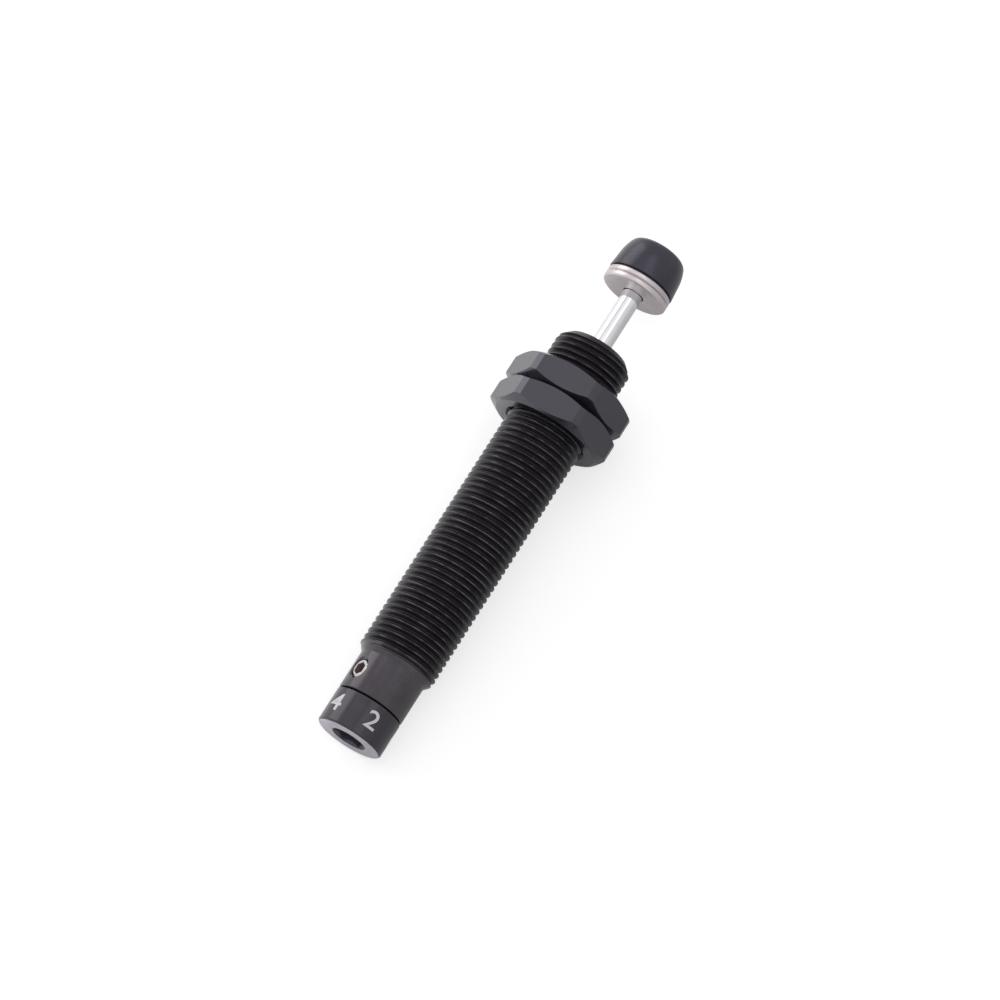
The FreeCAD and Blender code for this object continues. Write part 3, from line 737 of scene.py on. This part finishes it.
# %% Threaded bar
def threaded_bar(name, outline, pitch, start_x, turns, steps):
    """A bar with a right-hand thread, from the outline of one pitch."""
    bar = draw_outline(name, [(start_x + x * pitch, r) for x, r in outline])
    bpy.ops.object.mode_set(mode="OBJECT")
    apply_modifier(bar, "SCREW", axis="X", angle=FULL_TURN, screw_offset=pitch * MM,
                   iterations=turns, steps=steps, render_steps=steps)
    bpy.ops.object.mode_set(mode="EDIT")
    close_shell()
    return bar


def is_right_handed(bar, crest_r):
    """Follows the crest a little way round: a right-hand thread moves along as it turns."""
    crest = [v.co for v in bar.data.vertices if math.hypot(v.co.y, v.co.z) > crest_r * MM]
    first = min((p for p in crest if abs(math.atan2(p.z, p.y)) < 1e-4), key=lambda p: p.x)
    later = [p for p in crest if 0.05 < math.atan2(p.z, p.y) < 0.25]
    nearest = min(later, key=lambda p: abs(p.x - first.x))
    return nearest.x > first.x


body = threaded_bar("threaded_body", ONE_PITCH, pitch, start_x=-58.0, turns=66, steps=64)
print("thread is right-handed:", is_right_handed(body, 5.99))

# %% Turned blank and its bores
blank = turned("blank", [
    (body_back_x, stem_bore_r + mouth_bevel),
    (body_back_x, neck_r - mouth_bevel),
    (body_back_x + 0.08, neck_r - 0.08),
    (body_back_x + mouth_bevel, neck_r),
    (neck_x - 0.12, neck_r),
    (neck_x + 0.06, neck_r + 0.06),
    (thread_end_x + over, thread_r + over),
    (nose_x - nose_bevel - over, thread_r + over),
    (nose_x - 0.06, thread_r - nose_bevel + 0.06),
    (nose_x, thread_r - nose_bevel - 0.06),
    (nose_x, bore_r + mouth_bevel),
    (nose_x - mouth_bevel, bore_r),
    (guide_x + snap_t, bore_r),
    (guide_x + snap_t, bore_r + snap_depth),
    (guide_x, bore_r + snap_depth),
    (guide_x, bore_r),
    (floor_x, bore_r),
    (floor_x, spindle_bore_r),
    (partition_x, spindle_bore_r),
    (partition_x, stem_bore_r),
    (body_back_x + mouth_bevel, stem_bore_r),
], closed=True, steps=128)
carve(body, blank, "INTERSECT")
screw_hole = turned("screw_hole", [
    (0, 0),
    (0, screw_hole_r),
    (neck_r - screw_hole_bevel, screw_hole_r),
    (neck_r + 1, screw_hole_r + 1 + screw_hole_bevel),
    (neck_r + 1, 0),
], steps=48)
put_on_neck(screw_hole)
carve(body, screw_hole)
dress(body, "cylinder", "black_body", black_body, "body_tube", smooth=38.0)
second_finish(body, black_neck, lambda x, y, z: x < thread_end_x)

# %% [markdown]
# ## The two hex nuts
# Each nut is a slice of hexagon bar whose corners were turned back on a lathe. The turning leaves
# a narrow strip on each corner and a curved edge where the cone runs into a flat. Those curves
# can't be placed by hand, but they come out by themselves when the hexagon is cut to what it
# shares with a turned double cone. Both nuts are the same part, so the second is a copy.

# %% Front nut and its copy
nut_af, nut_corner_r, nut_face_r, nut_h, nut_bore_bevel = 17.0, 9.495, 8.1, 4.3, 0.45
thread_fit = 0.05
nut_drop = (nut_corner_r - nut_face_r) * math.tan(math.radians(30))
nut_bore_r = thread_r + thread_fit

front_nut = hex_bar("front_hex_nut", -nut_h, 0, nut_af)
carve(front_nut, turned("nut_cone", [
    (-nut_h, 0), (-nut_h, nut_face_r), (-nut_h + nut_drop, nut_corner_r),
    (-nut_drop, nut_corner_r), (0, nut_face_r), (0, 0),
]), "INTERSECT")
soften(front_nut, 0.10, segments=2, sharper_than=20.0)
carve(front_nut, turned("nut_bore", [
    (-nut_h - 1, 0),
    (-nut_h - 1, nut_bore_r + nut_bore_bevel + 1),
    (-nut_h + nut_bore_bevel, nut_bore_r),
    (-nut_bore_bevel, nut_bore_r),
    (1, nut_bore_r + nut_bore_bevel + 1),
    (1, 0),
]))
pick_only(front_nut)
bpy.ops.object.duplicate()
rear_nut = bpy.context.object
rear_nut.name = rear_nut.data.name = "rear_hex_nut"
rear_nut.location.x = -nut_h * MM
bpy.ops.object.transform_apply(location=True, rotation=True, scale=True)
dress(front_nut, "front_nut", "black_nut", black_nut, "front_nut", smooth=25.0, level_faces=True)
dress(rear_nut, "rear_nut", "black_nut", black_nut, "rear_nut", smooth=25.0, level_faces=True)

# %% [markdown]
# ## The dial
# The dial and its stem are one turned piece, and the stem turns in the neck. A broached hexagon
# socket takes the key that turns it. A broach can't cut to the bottom of a blind hole, so the
# hole is drilled first, a little deeper, and the drill leaves its cone. That is why the tool that
# carves the socket here is a hexagon bar followed by a turned point. The black skin is rubbed off
# the end face, and inside the socket it is paler and bluer.

# %% Dial with its stem and socket
dial_back_x, dial_front_x, dial_r, dial_bevel = -61.65, -56.30, 5.1, 0.25
stem_r, stem_front_x, groove_depth, groove_w = 3.42, -47.6, 0.75, 2.1
socket_af, socket_depth, lead_in = 4.5, 3.2, 0.1
drill_r, drill_depth, drill_point = socket_af / 2 - 0.02, socket_depth + 0.2, 1.0
socket_corner_r = socket_af / math.sqrt(3)
slot_back_x, slot_w, slot_len = -49.6, 1.3, 7.5

dial = turned("dial_and_stem", [
    (dial_back_x, 0),
    (dial_back_x, dial_r - dial_bevel),
    (dial_back_x + dial_bevel, dial_r),
    (dial_front_x, dial_r),
    (dial_front_x, stem_r),
    (screw_x - groove_w / 2, stem_r),
    (screw_x - groove_w / 2, stem_r - groove_depth),
    (screw_x + groove_w / 2, stem_r - groove_depth),
    (screw_x + groove_w / 2, stem_r),
    (stem_front_x - mouth_bevel, stem_r),
    (stem_front_x, stem_r - mouth_bevel),
    (stem_front_x, 0),
], steps=128)
soften(dial, 0.07, segments=3)
carve(dial, hex_bar("socket", dial_back_x - 1, dial_back_x + socket_depth, socket_af))
carve(dial, turned("drill_point", [
    (dial_back_x + 1, 0),
    (dial_back_x + 1, drill_r),
    (dial_back_x + drill_depth, drill_r),
    (dial_back_x + drill_depth + drill_point, 0),
]))
carve(dial, turned("socket_lead_in", [
    (dial_back_x - 1, 0),
    (dial_back_x - 1, socket_corner_r + lead_in + 1),
    (dial_back_x + socket_corner_r + lead_in, 0),
]))
carve(dial, blade("tongue_slot", slot_back_x, stem_front_x + 1, slot_w, slot_len))
dress(dial, "dial", "black_dial", black_dial, "adjusting_dial", level_faces=True)
second_finish(dial, rubbed_end, lambda x, y, z: x < dial_back_x + 0.02)


def in_dial_socket(x, y, z):
    """Whether a point lies inside the dial's socket, below its bevelled mouth."""
    depth = x - dial_back_x
    deepest = drill_depth + drill_point + 0.1
    return lead_in + 0.05 < depth < deepest and math.hypot(y, z) < socket_corner_r


second_finish(dial, broached, in_dial_socket)

# %% [markdown]
# ## The numbers on the dial
# The even numbers from 0 to 8 stand round the dial with their tops towards the thread, and the
# odd ones are left out for room. They are printed in white, so they are flat letters, brought to
# size, cut into narrow strips, and laid on the round dial by a Shrinkwrap modifier. The strips
# matter: a letter's large triangles couldn't follow the curve. Solidify gives the coat of paint.

# %% Dial numbers
number_x, number_h = -58.65, 2.68
number_middle, number_middle_turn, number_step = 4, 46.5, 36.0
number_widths = {"0": 1.9, "2": 1.86, "4": 2.26, "6": 1.9, "8": 1.9}
boldness = 0.007
strip_w, half_strips = 0.22, 5
paint_t, paint_top = 0.03, 0.012


def dial_number(text, width_mm):
    """One number as a thin coat of paint on the dial."""
    bpy.ops.object.select_all(action="DESELECT")
    bpy.ops.object.text_add()
    letter = bpy.context.object
    letter.data.body = text
    letter.data.resolution_u = 6
    letter.data.offset = boldness
    bpy.ops.object.convert(target="MESH")
    letter = bpy.context.object
    letter.name = letter.data.name = "dial_number_" + text
    low = Vector([min(v.co[k] for v in letter.data.vertices) for k in range(3)])
    high = Vector([max(v.co[k] for v in letter.data.vertices) for k in range(3)])
    wide, tall = high.x - low.x, high.y - low.y
    letter.location = -(low + high) / 2
    bpy.ops.object.transform_apply(location=True)
    letter.scale = (width_mm * MM / wide, number_h * MM / tall, 1)
    bpy.ops.object.transform_apply(scale=True)
    bpy.ops.object.mode_set(mode="EDIT")
    bpy.ops.mesh.select_all(action="SELECT")
    bpy.ops.mesh.remove_doubles(threshold=WELD)
    for k in range(-half_strips, half_strips + 1):
        bpy.ops.mesh.select_all(action="SELECT")
        bpy.ops.mesh.bisect(plane_co=(k * strip_w * MM, 0, 0), plane_no=(1, 0, 0))
    bpy.ops.object.mode_set(mode="OBJECT")
    turn = math.radians(number_middle_turn + (number_middle - int(text)) * number_step)
    outward = Vector((0, math.cos(turn), math.sin(turn)))
    reading = Vector((0, -math.sin(turn), math.cos(turn)))
    frame_of_letter = Matrix((reading, Vector((1, 0, 0)), outward)).transposed().to_4x4()
    place = outward * (dial_r + 0.5) * MM + Vector((number_x * MM, 0, 0))
    letter.matrix_world = Matrix.Translation(place) @ frame_of_letter
    apply_modifier(letter, "SHRINKWRAP", target=dial, wrap_method="PROJECT", use_project_z=True,
                   use_negative_direction=True, use_positive_direction=False,
                   offset=paint_top * MM)
    apply_modifier(letter, "SOLIDIFY", thickness=paint_t * MM, offset=-1.0)
    pick_only(letter)
    bpy.ops.object.transform_apply(location=True, rotation=True, scale=True)
    dress(letter, "dial", None, white_paint)


for text, width in number_widths.items():
    dial_number(text, width)

# %% [markdown]
# ## The set screw
# A small plated screw in the neck locks the dial. It has an M3 x 0.5 thread, a hexagon socket and
# a dog point that reaches into the groove of the stem. It is made along the axis like the other
# turned pieces, with the same threaded bar, and then turned to point out of its hole.

# %% Set screw
screw_top, screw_foot, dog_tip, dog_r = 4.8, 3.50, 2.72, 0.9
screw_r, screw_bevel, screw_socket_af, screw_socket_depth = 1.45, 0.2, 1.8, 1.1
screw_pitch = 0.5
SMALL_PITCH = [
    (0.0, 1.17), (0.12, 1.17), (0.42, 1.42), (0.5, 1.45), (0.58, 1.42), (0.88, 1.17), (1.0, 1.17),
]

screw = threaded_bar("set_screw", SMALL_PITCH, screw_pitch, start_x=1.0, turns=10, steps=32)
carve(screw, turned("screw_blank", [
    (dog_tip, 0),
    (dog_tip, dog_r - 0.1),
    (dog_tip + 0.1, dog_r),
    (screw_foot, dog_r),
    (screw_foot, screw_r - screw_bevel),
    (screw_foot + screw_bevel + over, screw_r + over),
    (screw_top - screw_bevel, screw_r + over - 0.04),
    (screw_top, screw_r - 0.13),
    (screw_top, 0),
], steps=64), "INTERSECT")
carve(screw, hex_bar("screw_socket", screw_top - screw_socket_depth, screw_top + 1, screw_socket_af))
soften(screw, 0.03, segments=1, sharper_than=40.0)
put_on_neck(screw)
dress(screw, "lock_screw", "nickel", zinc, "lock_screw")


def in_screw_socket(x, y, z):
    """Whether a point lies inside the socket, below the screw's rim."""
    height = y * math.cos(screw_angle) + z * math.sin(screw_angle)
    aside = z * math.cos(screw_angle) - y * math.sin(screw_angle)
    inside = math.hypot(x - screw_x, aside) < screw_socket_af / math.sqrt(3)
    return inside and screw_top - screw_socket_depth - 0.01 < height < screw_top - 0.05


# The socket's walls get the painted shade
second_finish(screw, painted_socket_shade, in_screw_socket)

# %% [markdown]
# ## The rod and the button plate
# The rod is ground and hard chromed, so it is a plain mirror with a hint of grinding lines. Its
# tail carries the piston and its stud carries the plate. The plate is nickel plated, with a groove
# round its rim, a spigot and a head that hold the cap, and a fine groove round the rod whose faces
# get a painted shade, a dark ring for the shade where the rod enters the plate.

# %% Rod
rod_r, rod_tip_x, plate_x = 1.5, 16.2, 18.0
tail_x, tail_r, shoulder_x, stud_r, stud_len = -10.3, 1.0, -4.9, 1.1, 1.4
rod = turned("chromed_rod", [
    (tail_x, 0),
    (tail_x, tail_r - 0.15),
    (tail_x + 0.15, tail_r),
    (shoulder_x, tail_r),
    (shoulder_x, rod_r - 0.08),
    (shoulder_x + 0.08, rod_r),
    (rod_tip_x, rod_r),
    (rod_tip_x, stud_r),
    (rod_tip_x + stud_len - 0.1, stud_r),
    (rod_tip_x + stud_len, stud_r - 0.1),
    (rod_tip_x + stud_len, 0),
], steps=64)
dress(rod, "rod", "hard_chrome", hard_chrome, "piston_rod")

# %% Button plate
plate_r, groove_x, groove_half, rim_groove_depth = 5.1, 16.95, 0.175, 0.3
shade_groove_r, shade_groove_depth = 1.64, 0.3
spigot_r, head_r, head_low, head_high, fit = 2.1, 2.8, 1.1, 1.9, 0.02
plate = turned("button_plate_turned", [
    (rod_tip_x, stud_r + fit),
    (rod_tip_x, rod_r),
    (rod_tip_x + shade_groove_depth, rod_r),
    (rod_tip_x + shade_groove_depth, shade_groove_r),
    (rod_tip_x, shade_groove_r),
    (rod_tip_x, plate_r - 0.2),
    (rod_tip_x + 0.2, plate_r),
    (groove_x, plate_r),
    (groove_x + groove_half, plate_r - rim_groove_depth),
    (groove_x + 2 * groove_half, plate_r),
    (plate_x - 0.14, plate_r),
    (plate_x, plate_r - 0.22),
    (plate_x, spigot_r),
    (plate_x + head_low, spigot_r),
    (plate_x + head_low, head_r),
    (plate_x + head_high, head_r),
    (plate_x + head_high, 0),
    (rod_tip_x + stud_len + fit, 0),
    (rod_tip_x + stud_len + fit, stud_r + fit),
    (rod_tip_x, stud_r + fit),
], steps=128)
soften(plate, 0.045, segments=2, sharper_than=25.0)
dress(plate, "rod", "nickel", nickel, "button_plate", level_faces=True)


def round_the_rod(x, y, z):
    """Whether a point lies in the groove round the rod."""
    return rod_tip_x + 0.02 < x < plate_x and rod_r - 0.02 < math.hypot(y, z) < shade_groove_r + 0.02


# The groove round the rod gets the painted contact shade
second_finish(plate, painted_contact_shade, round_the_rod)

# %% [markdown]
# ## The bumper cap
# The cap is moulded in one soft curve that grows tighter towards the top. Its curve is two arcs
# that meet smoothly, drawn as short steps, because a bevel can't give an edge that starts almost
# straight. Both centres and the meeting point are worked out from the two radii. Inside it grips
# the plate's head.

# %% Bumper cap
def arc(centre, start, end, count):
    """Points along the short arc from start to end, without its first point."""
    from_angle = math.atan2(start[1] - centre[1], start[0] - centre[0])
    to_angle = math.atan2(end[1] - centre[1], end[0] - centre[0])
    size = math.dist(centre, start)
    angles = [from_angle + (to_angle - from_angle) * k / count for k in range(1, count + 1)]
    return [(centre[0] + size * math.cos(a), centre[1] + size * math.sin(a)) for a in angles]


cap_base_r, cap_shoulder_r, cap_taper, cap_h = 5.2, 4.95, 2.8, 5.8
side_round, edge_round = 7.2, 1.3
slant = math.hypot(cap_base_r - cap_shoulder_r, cap_taper)
side_centre = (
    plate_x + cap_taper - side_round * (cap_base_r - cap_shoulder_r) / slant,
    cap_shoulder_r - side_round * cap_taper / slant,
)
edge_x = plate_x + cap_h - edge_round
centres_apart = side_round - edge_round
edge_r = side_centre[1] + math.sqrt(centres_apart ** 2 - (edge_x - side_centre[0]) ** 2)
edge_centre = (edge_x, edge_r)
reach = side_round / centres_apart
meeting = tuple(s + (e - s) * reach for s, e in zip(side_centre, edge_centre))
shoulder = (plate_x + cap_taper, cap_shoulder_r)
cap_top = (plate_x + cap_h, edge_centre[1])

cap = turned("bumper_cap_moulded", [
    (plate_x, spigot_r + fit),
    (plate_x, 4.62),
    (plate_x + 0.2, 4.70),
    (plate_x + 0.2, cap_base_r - 0.12),
    (plate_x + 0.24, cap_base_r - 0.05),
    (plate_x + 0.34, cap_base_r - 0.03),
    shoulder,
    *arc(side_centre, shoulder, meeting, 12),
    *arc(edge_centre, meeting, cap_top, 8),
    (plate_x + cap_h, 0),
    (plate_x + head_high + fit, 0),
    (plate_x + head_high + fit, head_r + fit),
    (plate_x + head_low - fit, head_r + fit),
    (plate_x + head_low - fit, spigot_r + fit),
    (plate_x, spigot_r + fit),
], steps=128)
dress(cap, "rod", "urethane", urethane, "bumper_cap")

# %% [markdown]
# ## The mouth of the body
# Round the rod lie the wiper, the guide and the open snap ring that holds it. They are small, but
# the mouth shows them from the front, and a bare hole there would give the model away.

# %% Guide, snap ring and wiper
guide_r, boss_r, boss_x, wiper_seat_x, wiper_seat_r = 3.98, 2.9, 6.0, 5.1, 2.4
guide = turned("rod_guide_turned", [
    (-3.0, boss_r), (-3.0, guide_r - 0.08), (-2.92, guide_r),
    (-1.05, guide_r), (-1.05, 3.02), (0.25, 3.02), (0.25, guide_r),
    (guide_x - 0.12, guide_r), (guide_x, guide_r - 0.12), (guide_x, boss_r),
    (boss_x - 0.1, boss_r), (boss_x, boss_r - 0.1),
    (boss_x, wiper_seat_r + 0.05), (boss_x - 0.05, wiper_seat_r),
    (wiper_seat_x, wiper_seat_r), (wiper_seat_x, 2.1),
    (0.9, 2.1), (0.9, 1.59), (-1.0, 1.59), (-1.0, boss_r),
], closed=True)
dress(guide, "cylinder", "steel", steel, "rod_guide")

snap_inner_r, snap_outer_r, snap_span_deg, snap_start_deg = 3.08, 4.38, 290, -55
snap = turned("snap_ring_open", [
    (guide_x, snap_inner_r + 0.04),
    (guide_x, snap_outer_r - 0.02),
    (guide_x + 0.06, snap_outer_r),
    (guide_x + snap_t - 0.06, snap_outer_r),
    (guide_x + snap_t, snap_outer_r - 0.02),
    (guide_x + snap_t, snap_inner_r + 0.04),
    (guide_x + snap_t - 0.06, snap_inner_r),
    (guide_x + 0.06, snap_inner_r),
], closed=True, steps=80, angle=math.radians(snap_span_deg))
snap.rotation_euler = (math.radians(snap_start_deg), 0, 0)
pick_only(snap)
bpy.ops.object.transform_apply(location=True, rotation=True, scale=True)
dress(snap, "cylinder", "steel", steel, "snap_ring")

wiper_r = wiper_seat_r - fit
wiper = turned("wiper_lipped", [
    (wiper_seat_x, 1.65), (wiper_seat_x, wiper_r), (boss_x - 0.04, wiper_r), (boss_x, wiper_r - 0.04),
    (boss_x, 1.80), (5.90, 1.66), (5.98, 1.60), (6.10, 1.53), (6.02, 1.535), (5.78, 1.535),
], closed=True)
dress(wiper, "cylinder", "seal_rubber", seal_rubber, "rod_wiper")

# %% [markdown]
# ## The return spring
# The spring lies deep inside, between the piston and the tube's plug. A small circle swept by the
# Screw modifier gives its round wire, and both ends are cut flat, as they are ground on the real
# one. When the rod is pushed in the coils close up.

# %% Return spring
spring_back_x, spring_front_x = -37.08, -8.62
wire_r, coil_r, spring_turns = 0.185, 1.915, 7.5
spare_turns = 0.2

bpy.ops.object.select_all(action="DESELECT")
bpy.ops.mesh.primitive_circle_add(
    vertices=12,
    radius=wire_r * MM,
    location=((spring_back_x - 2 * wire_r) * MM, 0, coil_r * MM),
    rotation=(math.pi / 2, 0, 0),
)
spring = bpy.context.object
spring.name = spring.data.name = "return_spring_coil"
bpy.ops.object.transform_apply(location=True, rotation=True, scale=True)
coil_pitch = (spring_front_x - spring_back_x) / spring_turns
swept_turns = spring_turns + spare_turns
apply_modifier(spring, "SCREW", axis="X", angle=FULL_TURN * swept_turns, steps=300,
               render_steps=300, screw_offset=coil_pitch * swept_turns * MM, iterations=1)
bpy.ops.object.mode_set(mode="EDIT")
for station, outward in ((spring_back_x, -1), (spring_front_x, 1)):
    bpy.ops.mesh.select_all(action="SELECT")
    bpy.ops.mesh.bisect(
        plane_co=(station * MM, 0, 0), plane_no=(outward, 0, 0), clear_outer=True, use_fill=True,
    )
close_shell()
dress(spring, "cylinder", "steel", steel, "return_spring", smooth=40.0)
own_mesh(spring)

# %% [markdown]
# ## What stays as it is
# The metering core was made with its real shape in the frame, so those solids stay. They only get
# the finishes of their metals and rubbers, by the slot that the record gives each of them.

# %% Finishes for the inner solids
finishes = {"steel": steel, "bronze": bronze, "seal_rubber": seal_rubber, "foam": foam}
kept = [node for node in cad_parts.values() if not node.hide_render]
for node in kept:
    for place in node.material_slots:
        place.material = finishes[place.material.name]
print("kept as they are:", sorted(node.name for node in kept))

# %% Sizes and finish
low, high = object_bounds()
print("visual size in mm:", [round(side / MM, 2) for side in high - low])
